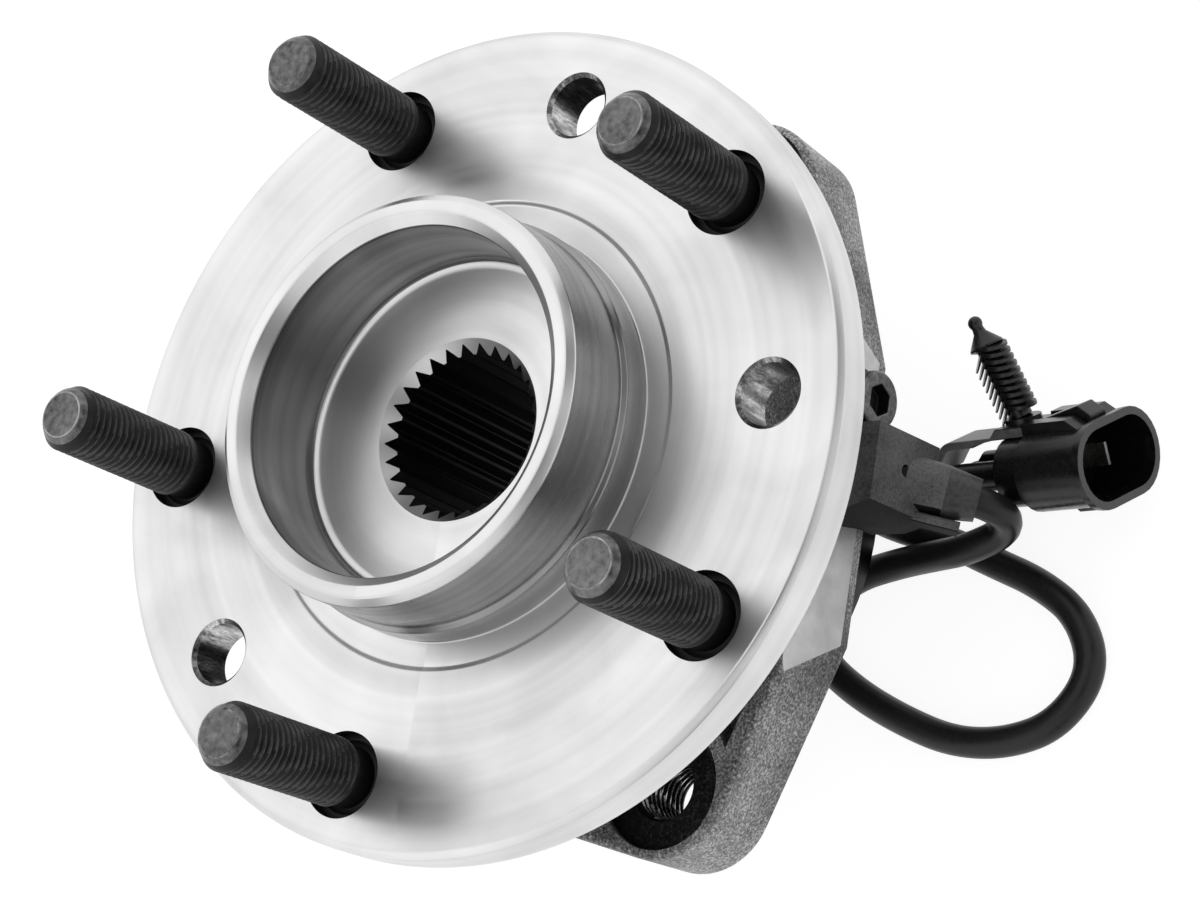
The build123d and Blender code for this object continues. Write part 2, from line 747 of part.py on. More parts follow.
with BuildPart() as sensor_screw:
    with BuildSketch(pad_plane.offset(sensor_ear_thickness)):
        with Locations((screw_across, screw_along)):
            Circle(screw_head_radius)
    extrude(amount=screw_head_height)
    chamfer(faces().sort_by(Axis(pad_plane.origin, pad_normal))[-1].edges(), 0.4)
    with BuildSketch(pad_plane.offset(sensor_ear_thickness + screw_head_height)):
        with Locations((screw_across, screw_along)):
            RegularPolygon(screw_socket_flats / 2, 6, major_radius=False)
    extrude(amount=-screw_socket_depth, mode=Mode.SUBTRACT)
    with BuildSketch(pad_plane.offset(sensor_ear_thickness)):
        with Locations((screw_across, screw_along)):
            Circle(screw_radius)
    extrude(amount=-sensor_ear_thickness - screw_length + 1)
save(sensor_screw.part, "sensor_screw")

# Rubber boot on the spigot, bored for the lead
with BuildPart() as sensor_boot:
    with BuildSketch(spigot_plane):
        Circle(boot_root_radius)
    with BuildSketch(spigot_plane.offset(boot_length)):
        Circle(boot_tip_radius)
    loft()
    with BuildSketch(spigot_plane.offset(boot_length)):
        Circle(lead_radius + boot_bore_clearance)
    extrude(amount=-boot_bore_depth, mode=Mode.SUBTRACT)
save(sensor_boot.part, "sensor_boot")

# Lead: straight runs joined by tangent arcs, from the floor of the boot's bore to the plug's two cores
lead_points = [Vector(*point) for point in lead_route]
lead_points[0] = boot_exit - boot_axis * boot_bore_depth
lead_radii = []
for before, corner, after in zip(lead_points, lead_points[1:], lead_points[2:]):
    half_turn = radians((corner - before).get_angle(after - corner)) / 2
    shorter_run = min((corner - before).length, (after - corner).length)
    lead_radii.append(0.45 * shorter_run / tan(half_turn))
with BuildPart() as sensor_lead:
    with BuildLine() as lead_path:
        FilletPolyline(*lead_points, radius=lead_radii)
    with BuildSketch(Plane(origin=lead_points[0], z_dir=lead_path.line % 0)):
        Circle(lead_radius)
    sweep()
save(sensor_lead.part, "sensor_lead")
lead_length = lead_path.wires()[0].length
print("lead radii", [round(radius, 1) for radius in lead_radii])
print("lead length", round(lead_length, 1))
print("lead volume", round(sensor_lead.part.volume), "of", round(pi * lead_radius**2 * lead_length))

# Plug: moulded body with an oval shroud in front and a round tube for each wire seal behind
plug_plane = Plane(origin=plug_mouth, x_dir=plug_long_axis, z_dir=plug_axis)
plug_clip_axis = plug_plane.y_dir
plug_rear_plane = plug_plane.offset(-plug_body_length)
plug_floor_plane = plug_plane.offset(-plug_cavity_depth)
way_places = [(-way_spacing / 2, 0), (way_spacing / 2, 0)]
shroud_length = plug_length - 2 * plug_rim_height
shroud_width = plug_width - 2 * plug_rim_height
shroud_top = shroud_width / 2
rear_top = shroud_top - plug_rear_top_shrink
side_plane = Plane(origin=plug_mouth, x_dir=plug_axis, z_dir=-plug_plane.x_dir)
with BuildPart() as plug_body:
    with BuildSketch(plug_plane):
        SlotOverall(plug_length, plug_width)
    extrude(amount=-plug_rim_depth)
    with BuildSketch(plug_plane):
        SlotOverall(shroud_length, shroud_width)
    extrude(amount=-plug_shroud_length)
    with BuildSketch(plug_rear_plane):
        SlotOverall(shroud_length - 2 * plug_rear_shrink, shroud_width - 2 * plug_rear_top_shrink)
    extrude(amount=plug_body_length - plug_shroud_length)
    chamfer(faces().sort_by(Axis(plug_mouth, plug_axis))[0].edges(), rear_bevel)
    with BuildSketch(plug_rear_plane):
        with Locations(*way_places):
            Circle(way_tube_radius)
    extrude(amount=-way_tube_length)
    # Rib under the mouth that keys the mating half
    with BuildSketch(plug_plane.offset(-plug_rim_depth)):
        with Locations((0, -shroud_top)):
            RectangleRounded(lip_rib_width, 2 * lip_rib_height, 0.9 * lip_rib_height)
    extrude(amount=-lip_rib_length)
    # Blocks beside the lock ramp
    with BuildSketch(side_plane):
        Polygon(
            (-block_front + block_slope, shroud_top - block_foot),
            (-block_front + block_slope, shroud_top),
            (-block_front, shroud_top + block_rise),
            (-block_rear, shroud_top + block_rise),
            (-block_rear, shroud_top - block_foot),
            align=None,
        )
    extrude(amount=ramp_width / 2 + block_gap + block_width, both=True)
    with BuildSketch(plug_plane.offset(-plug_rim_depth)):
        with Locations((0, shroud_top + block_rise)):
            Rectangle(ramp_width + 2 * block_gap, 2 * block_rise)
    extrude(amount=-plug_body_length, mode=Mode.SUBTRACT)
    with BuildSketch(plug_plane):
        SlotOverall(shroud_length - 2 * plug_wall, shroud_width - 2 * plug_wall)
    extrude(amount=-plug_cavity_depth, mode=Mode.SUBTRACT)
    with BuildSketch(plug_rear_plane.offset(-way_tube_length)):
        with Locations(*way_places):
            Circle(way_bore_radius)
    extrude(amount=way_bore_depth, mode=Mode.SUBTRACT)
    with BuildSketch(plug_floor_plane):
        with Locations(*way_places):
            Rectangle(blade_thickness, blade_width)
    extrude(amount=-blade_root, mode=Mode.SUBTRACT)
save(plug_body.part, "plug_body")

for index, place in enumerate(way_places):
    with BuildPart() as contact_blade:
        with BuildSketch(plug_floor_plane.offset(-blade_root)):
            with Locations(place):
                Rectangle(blade_thickness, blade_width)
        extrude(amount=blade_root + blade_reach)
    save(contact_blade.part, f"contact_blade_{index + 1}")

# Wire seals in the plug's tubes, and the two cores between them and the lead's jacket
seal_back_plane = plug_rear_plane.offset(-way_tube_length - core_seal_bite / 2)
lead_end = lead_points[-1]
lead_heading = (lead_end - lead_points[-2]).normalized()
for index, place in enumerate(way_places):
    with BuildPart() as wire_seal:
        with BuildSketch(seal_back_plane):
            with Locations(place):
                Circle(way_bore_radius)
        extrude(amount=core_seal_bite / 2 + way_bore_depth * 0.7)
        with BuildSketch(seal_back_plane):
            with Locations(place):
                Circle(core_radius)
        extrude(amount=core_seal_bite, mode=Mode.SUBTRACT)
    save(wire_seal.part, f"wire_seal_{index + 1}")

    core_entry = seal_back_plane.from_local_coords((place[0], place[1], core_seal_bite))
    seal_mouth = seal_back_plane.from_local_coords((place[0], place[1], -core_before_seal))
    core_start = lead_end + plug_plane.x_dir * (core_spacing / 2 * (1 if place[0] > 0 else -1))
    core_start = core_start - lead_heading * (core_start - lead_end).dot(lead_heading)
    with BuildPart() as lead_core:
        with BuildLine() as core_path:
            FilletPolyline(
                core_start,
                core_start + lead_heading * core_straight,
                seal_mouth,
                core_entry,
                radius=core_bend,
            )
        with BuildSketch(Plane(origin=core_start, z_dir=core_path.line % 0)):
            Circle(core_radius)
        sweep()
    save(lead_core.part, f"lead_core_{index + 1}")

# Clip holder on the plug's top; side profiles have X along the plug and Y away from its axis
seat_height = shroud_top + seat_rise
plate_height = seat_height - plate_fall
arm_middle = plate_height - plate_thickness / 2
with BuildPart() as clip_holder:
    with BuildSketch(side_plane):
        Polygon(
            (-ramp_foot, shroud_top),
            (-ramp_foot, shroud_top + ramp_foot_rise),
            (-ramp_peak, shroud_top + ramp_peak_rise),
            (-seat_front, seat_height),
            (-seat_front, shroud_top),
            align=None,
        )
    extrude(amount=ramp_width / 2, both=True)
    with BuildSketch(side_plane):
        Polygon(
            (-seat_front, rear_top),
            (-seat_front, seat_height),
            (-seat_rear, seat_height),
            (-seat_rear - plate_fall, plate_height),
            (-plate_rear, plate_height),
            (-plate_rear, plate_height - plate_thickness),
            (-plug_body_length, rear_top),
            align=None,
        )
        with BuildLine():
            FilletPolyline(
                (-plate_rear + arm_bend, arm_middle),
                (-plate_rear - arm_bend, arm_middle),
                (-plate_rear - arm_reach, arm_middle - arm_drop),
                radius=arm_bend,
            )
        trace(line_width=plate_thickness)
    extrude(amount=plate_width / 2, both=True)
save(clip_holder.part, "clip_holder")

# Fir-tree clip: a foot on the seat, a leaning core with drooping fins, a cone and a knob
tree_tilt = radians(tree_lean)
tree_foot_plane = Plane(
    origin=side_plane.from_local_coords((-tree_seat, seat_height, 0)),
    x_dir=plug_plane.x_dir,
    z_dir=plug_clip_axis,
)
tree_plane = Plane(
    origin=tree_foot_plane.origin,
    x_dir=plug_plane.x_dir,
    z_dir=plug_clip_axis * cos(tree_tilt) - plug_axis.normalized() * sin(tree_tilt),
)
tree_shoulder = tree_length - 2 * tree_knob_radius - tree_knob_stem - tree_head_length
fin_pitch = (tree_shoulder - tree_first_fin) / tree_fins
with BuildPart() as fir_tree_clip:
    with BuildSketch(tree_foot_plane):
        Circle(tree_pad_radius)
    extrude(amount=tree_pad_thickness)
    with BuildSketch(tree_plane.offset(tree_core_depth / 2 * tan(tree_tilt) + 0.1)):
        Rectangle(tree_core_width, tree_core_depth)
    extrude(amount=tree_shoulder - tree_core_depth / 2 * tan(tree_tilt))
    # Fins, drawn in the plane across the core
    with BuildSketch(Plane(origin=tree_plane.origin, x_dir=tree_plane.x_dir, z_dir=-tree_plane.y_dir)):
        for fin in range(tree_fins):
            fin_root = tree_first_fin + (fin + 1) * fin_pitch
            for side in (-1, 1):
                Polygon(
                    (0, fin_root),
                    (side * tree_core_width / 2, fin_root),
                    (side * tree_fin_reach, fin_root - tree_fin_droop),
                    (side * tree_fin_reach, fin_root - tree_fin_droop - tree_fin_thickness),
                    (side * tree_core_width / 2, fin_root - tree_fin_thickness),
                    (0, fin_root - tree_fin_thickness),
                    align=None,
                )
    extrude(amount=tree_fin_depth / 2, both=True)
    # Cone that starts the clip in its hole, and the knob on its tip
    with BuildSketch(tree_plane.offset(tree_shoulder)):
        Circle(tree_head_radius)
    with BuildSketch(tree_plane.offset(tree_shoulder + tree_head_length)):
        Circle(tree_knob_radius)
    loft()
    with BuildSketch(tree_plane.offset(tree_shoulder + tree_head_length)):
        Circle(tree_knob_radius * 0.8)
    extrude(amount=tree_knob_stem + tree_knob_radius)
    with Locations(tree_plane.offset(tree_length - tree_knob_radius)):
        Sphere(tree_knob_radius)
save(fir_tree_clip.part, "fir_tree_clip")
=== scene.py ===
from math import atan2, cos, floor, pi, radians, sin, sqrt

import bmesh
import bpy
from mathutils import Matrix, Vector


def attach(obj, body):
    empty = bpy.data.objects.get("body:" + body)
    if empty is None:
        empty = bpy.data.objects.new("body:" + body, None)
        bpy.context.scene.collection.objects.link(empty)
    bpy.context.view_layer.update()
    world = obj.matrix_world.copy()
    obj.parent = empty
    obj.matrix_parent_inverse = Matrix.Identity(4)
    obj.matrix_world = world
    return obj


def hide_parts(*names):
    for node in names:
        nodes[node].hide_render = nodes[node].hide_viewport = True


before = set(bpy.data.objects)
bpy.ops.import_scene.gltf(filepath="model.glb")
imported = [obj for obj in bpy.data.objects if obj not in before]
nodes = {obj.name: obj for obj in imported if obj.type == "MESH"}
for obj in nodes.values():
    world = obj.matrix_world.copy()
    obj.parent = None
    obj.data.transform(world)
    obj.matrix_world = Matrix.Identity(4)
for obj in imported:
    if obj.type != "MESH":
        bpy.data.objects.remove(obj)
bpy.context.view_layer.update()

MM = 0.001

# Sizes of the hub bearing, in millimetres. The hub axis is Z and the wheel face is at height 0.
STUD_CIRCLE = 60.325
STUD_ANGLES = [23.85 + 72 * i for i in range(5)]
ACCESS_CIRCLE = 58.85
ACCESS_ANGLES = [-84.15, -12.15, 131.85]
EAR_CIRCLE = 60.5
EAR_ANGLES = [90, 210, 330]
THREAD_PITCH = 1.5


# ---- Modelling -------------------------------------------------------------------------------------


def polar(radius, angle, height=0.0):
    """Point in metres at a radius, an angle in degrees and a height, given in millimetres."""
    return Vector((radius * cos(radians(angle)), radius * sin(radians(angle)), height)) * MM


def axes(origin, x_axis, z_axis):
    """Matrix of a plane with its origin in millimetres, its X direction and its normal."""
    z = Vector(z_axis).normalized()
    x = Vector(x_axis)
    x = (x - z * x.dot(z)).normalized()
    turned = Matrix((x, z.cross(x), z)).transposed().to_4x4()
    return Matrix.Translation(Vector(origin) * MM) @ turned


def arc(centre, radius, start, end, count):
    """Points of an arc, as (radius, height) pairs round a centre, between two angles in degrees."""
    spots = [radians(start + (end - start) * i / count) for i in range(count + 1)]
    return [(centre[0] + radius * cos(a), centre[1] + radius * sin(a)) for a in spots]


def spun(outline, steps):
    """An outline of (radius, height) points turned about Z. One that starts on the axis is open there."""
    bm = bmesh.new()
    verts = [bm.verts.new((r * MM, 0, h * MM)) for r, h in outline]
    ends = verts[1:] if outline[0][0] == 0 else verts[1:] + verts[:1]
    edges = [bm.edges.new(pair) for pair in zip(verts, ends)]
    bmesh.ops.spin(
        bm, geom=verts + edges, cent=(0, 0, 0), axis=(0, 0, 1), angle=2 * pi, steps=steps, use_merge=True,
    )
    bmesh.ops.remove_doubles(bm, verts=bm.verts, dist=1e-7)
    bmesh.ops.recalc_face_normals(bm, faces=bm.faces)
    return bm


def drawn(outline, length, plane=Matrix.Identity(4)):
    """A flat outline of (x, y) points in a plane, drawn out along its normal."""
    bm = bmesh.new()
    face = bm.faces.new([bm.verts.new((x * MM, y * MM, 0)) for x, y in outline])
    grown = bmesh.ops.extrude_face_region(bm, geom=[face])["geom"]
    moved = [v for v in grown if isinstance(v, bmesh.types.BMVert)]
    bmesh.ops.translate(bm, verts=moved, vec=(0, 0, length * MM))
    bmesh.ops.recalc_face_normals(bm, faces=bm.faces)
    bm.transform(plane)
    return bm


def slot(length, width, count=14):
    """Outline of a slot with round ends."""
    shift = (length - width) / 2
    return arc((shift, 0), width / 2, -90, 90, count) + arc((-shift, 0), width / 2, 90, 270, count)


def ring(radius, centre, count=28):
    """Outline of a circle."""
    return arc(centre, radius, 0, 360, count)[:-1]


def placed(outline, start, end, plane):
    """An outline drawn out between two heights over a plane."""
    return drawn(outline, end - start, plane @ Matrix.Translation((0, 0, start * MM)))


def soften(bm, width, segments=2, angle=25, keep=None):
    """Rounds the edges that turn by more than an angle in degrees and that a test, if given, keeps."""
    sharp = [
        e for e in bm.edges
        if len(e.link_faces) == 2 and e.calc_face_angle() > radians(angle) and (keep is None or keep(e))
    ]
    bmesh.ops.bevel(
        bm, geom=sharp, affect="EDGES", offset=width * MM, segments=segments, profile=0.5, material=-1,
        clamp_overlap=True,
    )
    return bm


def joined(*parts):
    """Several bmeshes as one."""
    whole = bmesh.new()
    for part in parts:
        mesh = bpy.data.meshes.new("joint")
        part.to_mesh(mesh)
        part.free()
        whole.from_mesh(mesh)
        bpy.data.meshes.remove(mesh)
    return whole


def piece(name, bm, material, body, stands_for=(), angle=30):
    """A finished object made from a bmesh: shaded smooth up to an angle, riding on a body."""
    mesh = bpy.data.meshes.new(name)
    bm.to_mesh(mesh)
    bm.free()
    made = bpy.data.objects.new(name, mesh)
    bpy.context.collection.objects.link(made)
    mesh.materials.append(material)
    shade(mesh, angle)
    if body:
        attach(made, body)
    if stands_for:
        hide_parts(*stands_for)
    return made


def shade(mesh, angle):
    """Smooth shading that stays sharp over edges that turn by more than an angle in degrees."""
    mesh.polygons.foreach_set("use_smooth", [True] * len(mesh.polygons))
    mesh.set_sharp_from_angle(angle=radians(angle))


def crisp(thing):
    """Shades flat faces flat, so that only the rounded edges between them turn the light."""
    change = thing.modifiers.new("crisp", "WEIGHTED_NORMAL")
    change.keep_sharp = True
    change.weight = 100


def carve(target, cutters, angle=30, operation="DIFFERENCE"):
    """Cuts bmeshes out of a piece, for good."""
    tools = []
    for cutter in cutters:
        mesh = bpy.data.meshes.new("cutter")
        cutter.to_mesh(mesh)
        cutter.free()
        tool = bpy.data.objects.new("cutter", mesh)
        bpy.context.collection.objects.link(tool)
        change = target.modifiers.new("cut", "BOOLEAN")
        change.operation = operation
        change.solver = "EXACT"
        change.object = tool
        tools.append(tool)
    bpy.context.view_layer.update()
    seen = target.evaluated_get(bpy.context.evaluated_depsgraph_get())
    mesh = bpy.data.meshes.new_from_object(seen)
    target.modifiers.clear()
    target.data = mesh
    for tool in tools:
        bpy.data.objects.remove(tool)
    shade(mesh, angle)


def ridge(height, angle, low, high, fade):
    """Share of a thread's depth that is left standing at a height: 0 in the root, 1 at the crest."""
    turn = height / THREAD_PITCH - angle / (2 * pi)
    wave = abs(2 * (turn - floor(turn)) - 1)
    wave = min(max((wave - 0.08) / 0.8, 0), 1)
    ends = min(max((height - low) / fade, 0), max((high - height) / fade, 0), 1)
    return 1 - (1 - wave) * ends


def whole_faces(mesh):
    """A mesh as a bmesh, merged and with its flat faces whole."""
    bm = bmesh.new()
    bm.from_mesh(mesh)
    bmesh.ops.remove_doubles(bm, verts=bm.verts, dist=2e-6)
    bmesh.ops.dissolve_limit(bm, angle_limit=radians(0.6), verts=bm.verts, edges=bm.edges)
    return bm


def copied(name):
    """The shape of a CAD node as a bmesh."""
    return whole_faces(nodes[name].data)


def edged(thing, width, segments=2, angle=28):
    """Rounds the edges of a finished piece."""
    bm = soften(whole_faces(thing.data), width, segments, angle)
    bm.to_mesh(thing.data)
    bm.free()
    shade(thing.data, 30)


def nearest(spot, places):
    """Distance across the axis from a spot to the nearest of some places."""
    return min((spot.xy - place.xy).length for place in places)


def paint(thing, materials, choose):
    """Gives each face the material that a rule picks from its centre, in millimetres, and its normal."""
    for material in materials:
        thing.data.materials.append(material)
    for face in thing.data.polygons:
        face.material_index = choose(face.center / MM, face.normal)


# ---- Materials -------------------------------------------------------------------------------------


def colour(code):
    """An sRGB hex colour as linear values."""
    parts = [int(code[i : i + 2], 16) / 255 for i in (1, 3, 5)]
    return [c / 12.92 if c <= 0.04045 else ((c + 0.055) / 1.055) ** 2.4 for c in parts] + [1.0]


def add(tree, kind, inputs=None, **settings):
    """Adds a shader node with its settings; an input is a value or the socket that feeds it."""
    node = tree.nodes.new("ShaderNode" + kind)
    for key, value in settings.items():
        setattr(node, key, value)
    for key, value in (inputs or {}).items():
        if isinstance(value, bpy.types.NodeSocket):
            tree.links.new(value, node.inputs[key])
        else:
            node.inputs[key].default_value = value
    return node


def blank(name):
    """A new material with an empty tree, and its Object coordinates."""
    material = bpy.data.materials.new(name)
    material.use_nodes = True
    tree = material.node_tree
    tree.nodes.clear()
    return material, tree, add(tree, "TexCoord").outputs["Object"]


def surface(tree, inputs):
    """The main shader of a material, wired to its output."""
    shader = add(tree, "BsdfPrincipled", inputs)
    add(tree, "OutputMaterial", {"Surface": shader.outputs[0]})


def ramp(tree, factor, stops, interpolation="LINEAR"):
    """A colour ramp over a factor; stops are (position, hex colour)."""
    node = add(tree, "ValToRGB", {"Fac": factor})
    node.color_ramp.interpolation = interpolation
    while len(node.color_ramp.elements) < len(stops):
        node.color_ramp.elements.new(0.5)
    for element, (position, code) in zip(node.color_ramp.elements, stops):
        element.position = position
        element.color = colour(code)
    return node.outputs["Color"]


def spread(tree, value, low, high):
    """A 0 to 1 value spread between two numbers."""
    return add(tree, "MapRange", {"Value": value, "To Min": low, "To Max": high}).outputs["Result"]


def turned(name, light, dark, rough, feed, streak=0.7):
    """Finish-turned steel: satin, with rings as wide as the tool's feed in mm, and a radial sheen."""
    material, tree, place = blank(name)
    split = add(tree, "SeparateXYZ", {0: place})
    flat = add(tree, "CombineXYZ", {"X": split.outputs["X"], "Y": split.outputs["Y"]})
    radius = add(tree, "VectorMath", {0: flat.outputs[0]}, operation="LENGTH").outputs["Value"]
    angle = add(tree, "Math", {0: split.outputs["Y"], 1: split.outputs["X"]}, operation="ARCTAN2").outputs[0]
    drift = add(tree, "Math", {0: angle, 1: 0.0004}, operation="MULTIPLY").outputs[0]
    rolled = add(tree, "CombineXYZ", {"X": radius, "Y": split.outputs["Z"], "Z": drift}).outputs[0]
    rings = add(tree, "TexNoise", {"Vector": rolled, "Scale": 1000 / feed, "Detail": 2, "Roughness": 0.6})
    bands = add(tree, "TexNoise", {"Vector": rolled, "Scale": 1000 / (feed * 9), "Detail": 3})
    smears = add(tree, "TexNoise", {"Vector": place, "Scale": 1000 / 26, "Detail": 4, "Distortion": 0.8})
    mixed = add(tree, "Math", {0: bands.outputs[0], 1: smears.outputs[0]}, operation="ADD").outputs[0]
    wear = add(tree, "MapRange", {"Value": mixed, "From Min": 0.75, "From Max": 1.25}).outputs["Result"]
    bump = add(tree, "Bump", {"Height": rings.outputs[0], "Strength": 0.12, "Distance": 0.02 * MM})
    surface(tree, {
        "Base Color": ramp(tree, wear, [(0, dark), (1, light)]),
        "Metallic": 1.0,
        "Roughness": spread(tree, wear, rough + 0.07, rough - 0.05),
        "Anisotropic": streak,
        "Tangent": add(tree, "Tangent", direction_type="RADIAL", axis="Z").outputs[0],
        "Normal": bump.outputs[0],
    })
    return material


def moulded(name, light, dark, rough, grain, depth, metallic=0.0, specular=0.5, coat=0.0):
    """A moulded or coated finish with a fine grain of a size in mm and a slow drift in tone."""
    material, tree, place = blank(name)
    fine = add(tree, "TexNoise", {"Vector": place, "Scale": 1000 / grain, "Detail": 3, "Roughness": 0.6})
    slow = add(tree, "TexNoise", {"Vector": place, "Scale": 1000 / (grain * 22), "Detail": 3})
    mixed = add(tree, "Math", {0: fine.outputs[0], 1: slow.outputs[0]}, operation="ADD").outputs[0]
    tone = add(tree, "MapRange", {"Value": mixed, "From Min": 0.7, "From Max": 1.3}).outputs["Result"]
    bump = add(tree, "Bump", {"Height": fine.outputs[0], "Strength": 0.5, "Distance": depth * MM})
    surface(tree, {
        "Base Color": ramp(tree, tone, [(0, dark), (1, light)]),
        "Metallic": metallic,
        "Roughness": spread(tree, tone, rough - 0.06, rough + 0.08),
        "Specular IOR Level": specular,
        "Coat Weight": coat,
        "Normal": bump.outputs[0],
    })
    return material


def drilled(name):
    """Steel from a twist drill: a wall torn lengthwise by the drill's lips, bright to nearly black."""
    material, tree, place = blank(name)
    long = add(tree, "Mapping", {"Vector": place, "Scale": (1, 1, 0.22)}).outputs[0]
    chatter = add(tree, "TexNoise", {"Vector": long, "Scale": 1000 / 0.7, "Detail": 4, "Roughness": 0.8})
    shades = add(tree, "TexNoise", {"Vector": long, "Scale": 1000 / 4.5, "Detail": 2})
    mixed = add(tree, "Math", {0: chatter.outputs[0], 1: shades.outputs[0]}, operation="ADD").outputs[0]
    tone = add(tree, "MapRange", {"Value": mixed, "From Min": 0.72, "From Max": 1.28}).outputs["Result"]
    bump = add(tree, "Bump", {"Height": chatter.outputs[0], "Strength": 0.6, "Distance": 0.05 * MM})
    surface(tree, {
        "Base Color": ramp(tree, tone, [(0, "#242424"), (0.45, "#6c6c6c"), (1, "#d6d6d6")]),
        "Metallic": 1.0,
        "Roughness": spread(tree, tone, 0.36, 0.24),
        "Normal": bump.outputs[0],
    })
    return material


def cast_skin(name, codes, grain, depth, rough):
    """Shot-blasted iron: a coarse sandy skin, mottled by the shot."""
    material, tree, place = blank(name)
    sand = add(tree, "TexNoise", {"Vector": place, "Scale": 1000 / grain, "Detail": 6, "Roughness": 0.7})
    coarse = 1000 / (grain * 3.2)
    peen = add(tree, "TexNoise", {"Vector": place, "Scale": coarse, "Detail": 4, "Roughness": 0.6})
    slow = add(tree, "TexNoise", {"Vector": place, "Scale": 1000 / 17, "Detail": 4})
    skin = add(tree, "Math", {0: sand.outputs[0], 1: peen.outputs[0]}, operation="ADD").outputs[0]
    soft = add(tree, "Math", {0: slow.outputs[0], 1: 0.5}, operation="MULTIPLY").outputs[0]
    tone = add(tree, "Math", {0: sand.outputs[0], 1: soft}, operation="ADD").outputs[0]
    tone = add(tree, "MapRange", {"Value": tone, "From Min": 0.58, "From Max": 0.96}).outputs["Result"]
    bump = add(tree, "Bump", {"Height": skin, "Strength": 1.0, "Distance": depth * MM})
    surface(tree, {
        "Base Color": ramp(tree, tone, [(0, codes[0]), (0.5, codes[1]), (1, codes[2])]),
        "Metallic": 0.9,
        "Roughness": spread(tree, tone, rough + 0.06, rough - 0.06),
        "Normal": bump.outputs[0],
    })
    return material


def milled(name, light, dark):
    """A face-milled seat: bright and even, with a soft haze and faint cutter marks."""
    material, tree, place = blank(name)
    waves = {"Vector": place, "Scale": 1000 / 16, "Distortion": 1.5, "Detail": 2}
    arcs = add(tree, "TexWave", waves, bands_direction="X")
    haze = add(tree, "TexNoise", {"Vector": place, "Scale": 1000 / 7, "Detail": 5, "Roughness": 0.6})
    fine = add(tree, "TexNoise", {"Vector": place, "Scale": 1000 / 0.5, "Detail": 2})
    soft = add(tree, "Math", {0: arcs.outputs[1], 1: 0.08}, operation="MULTIPLY").outputs[0]
    mixed = add(tree, "Math", {0: haze.outputs[0], 1: soft}, operation="ADD").outputs[0]
    tone = add(tree, "MapRange", {"Value": mixed, "From Min": 0.35, "From Max": 0.75}).outputs["Result"]
    bump = add(tree, "Bump", {"Height": fine.outputs[0], "Strength": 0.4, "Distance": 0.012 * MM})
    surface(tree, {
        "Base Color": ramp(tree, tone, [(0, dark), (1, light)]),
        "Metallic": 0.9,
        "Roughness": spread(tree, tone, 0.42, 0.34),
        "Normal": bump.outputs[0],
    })
    return material


# Machined carbon steel forging, bright satin from the lathe
turned_steel = turned("turned_carbon_steel", "#e4e4e4", "#cfcfcf", 0.33, 0.45, 0.5)
# The same forging where it was bored, with finer rings, painted darker as the shade inside the bore
shaded_bore_steel = turned("bore_steel_painted_shade", "#949494", "#707070", 0.34, 0.3, 0.5)
# The pilot's outer wall, turned to size with a finer feed, painted greyer as a shade for the dark it reflects
shaded_pilot_steel = turned("pilot_wall_painted_shade", "#a8a8a8", "#8c8c8c", 0.27, 0.3, 0.55)
# Broached spline and drilled counterbores: near black, a painted shade for these recesses
painted_shade_steel = moulded("recess_steel_painted_shade", "#1b1b1b", "#0d0d0d", 0.42, 0.9, 0.02, 0.6)
# Walls of the access holes: drilled, with chatter left by the drill
drilled_steel = drilled("drilled_steel")
# Hardened and ground bearing steel, near mirror with the finest lines
ground_steel = turned("ground_bearing_steel", "#d2d2d2", "#b0b0b0", 0.16, 0.25, 0.4)
# Manganese phosphated screw steel: near black, dry and finely crystalline
phosphated_steel = moulded("manganese_phosphated_steel", "#1c1c1d", "#0c0c0d", 0.42, 0.35, 0.02, 0.1, 0.3)
# Crests of the stud threads, where the coating is burnished, made lighter still as a painted highlight
burnished_highlight_steel = moulded("burnished_crest_painted_highlight", "#4a4a4b", "#242425", 0.36, 0.5, 0.01, 0.5)
# The end of the sensor's screw, scuffed by the key
worn_steel = moulded("scuffed_phosphated_steel", "#8c8c8c", "#1e1e1e", 0.34, 1.1, 0.05, 0.6)
# The cold-headed ends of the screws, where the coating has rubbed thin
rubbed_steel = moulded("rubbed_phosphated_steel", "#7e7e7e", "#323232", 0.30, 1.2, 0.04, 0.8)
# The lips of those ends: a painted glint, patchy
painted_glint_steel = moulded("screw_lip_painted_glint", "#a4a4a4", "#242424", 0.24, 1.6, 0.03, 0.9)
# Shot-blasted iron casting of the housing
cast_iron = cast_skin("shot_blasted_iron", ("#2c2c2c", "#7a7a7a", "#d4d4d4"), 0.50, 0.34, 0.38)
# Its spot faces and ear holes, black and rough: a painted shade under the wheel flange and in the holes
painted_shade_iron = cast_skin("cast_skin_painted_shade", ("#0c0c0c", "#1a1a1a", "#4c4c4c"), 0.5, 0.24, 0.50)
# Its sensor pad and knuckle face
milled_iron = milled("face_milled_iron", "#d2d2d2", "#b6b6b6")
# Its cut threads: painted shade in the root and a painted highlight on the crest
ear_thread = moulded("thread_root_painted_shade", "#1c1c1c", "#0e0e0e", 0.40, 0.5, 0.01, 0.7)
painted_highlight_crest = moulded("thread_crest_painted_highlight", "#e0e0e0", "#a8a8a8", 0.26, 0.5, 0.006, 1.0)
# Its bore, races and pilot nose
bored_iron = turned("bored_iron", "#b8b8b8", "#949494", 0.30, 0.4)
# Its pilot nose, turned: painted nearly black as the shade it lies in
nose_iron_painted_shade = turned("nose_iron_painted_shade", "#343434", "#191919", 0.38, 0.4, 0.3)
# Zinc-plated deep-drawn sheet of the seal cases
drawn_sheet = turned("zinc_plated_drawn_sheet", "#a8a9ab", "#86878a", 0.30, 0.6, 0.3)
# Nitrile rubber of the seals and the boot
nitrile = moulded("moulded_nitrile_rubber", "#4a4a4b", "#202021", 0.38, 0.6, 0.02, 0.0, 0.4)
